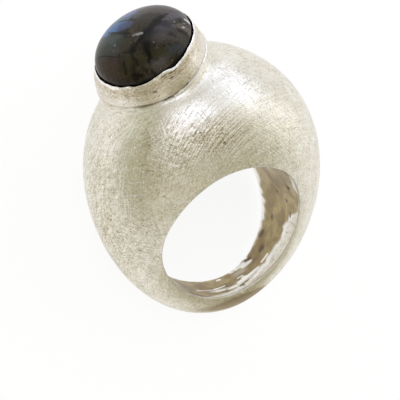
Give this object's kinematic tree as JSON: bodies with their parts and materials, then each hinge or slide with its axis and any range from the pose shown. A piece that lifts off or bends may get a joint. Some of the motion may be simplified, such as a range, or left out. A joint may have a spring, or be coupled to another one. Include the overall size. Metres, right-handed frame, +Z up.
{
  "type": "gemstone ring",
  "caption": "Chunky domed finger ring in brushed silver, with a dark round cabochon in a raised, slightly leaning cup, lying on its back.",
  "frame": {"origin": "middle of the lowest side of the box round the ring, on the surface that it lies on", "axes": "+Z up from the surface, -Y towards the stone, +X towards the thinner shoulder; the finger hole opens upwards and leans 25 degrees from +Z towards +Y"},
  "size_m": [0.0284, 0.0358, 0.0198],
  "materials": {
    "silver": "matte scratch-brushed silver, with a polished and tarnished finger hole",
    "gemstone": "polished opaque dark grey-brown stone with blue and lavender flashes"
  },
  "bodies": {
    "root": {"ring_body": "silver", "stone": "gemstone"}
  },
  "joints": []
}
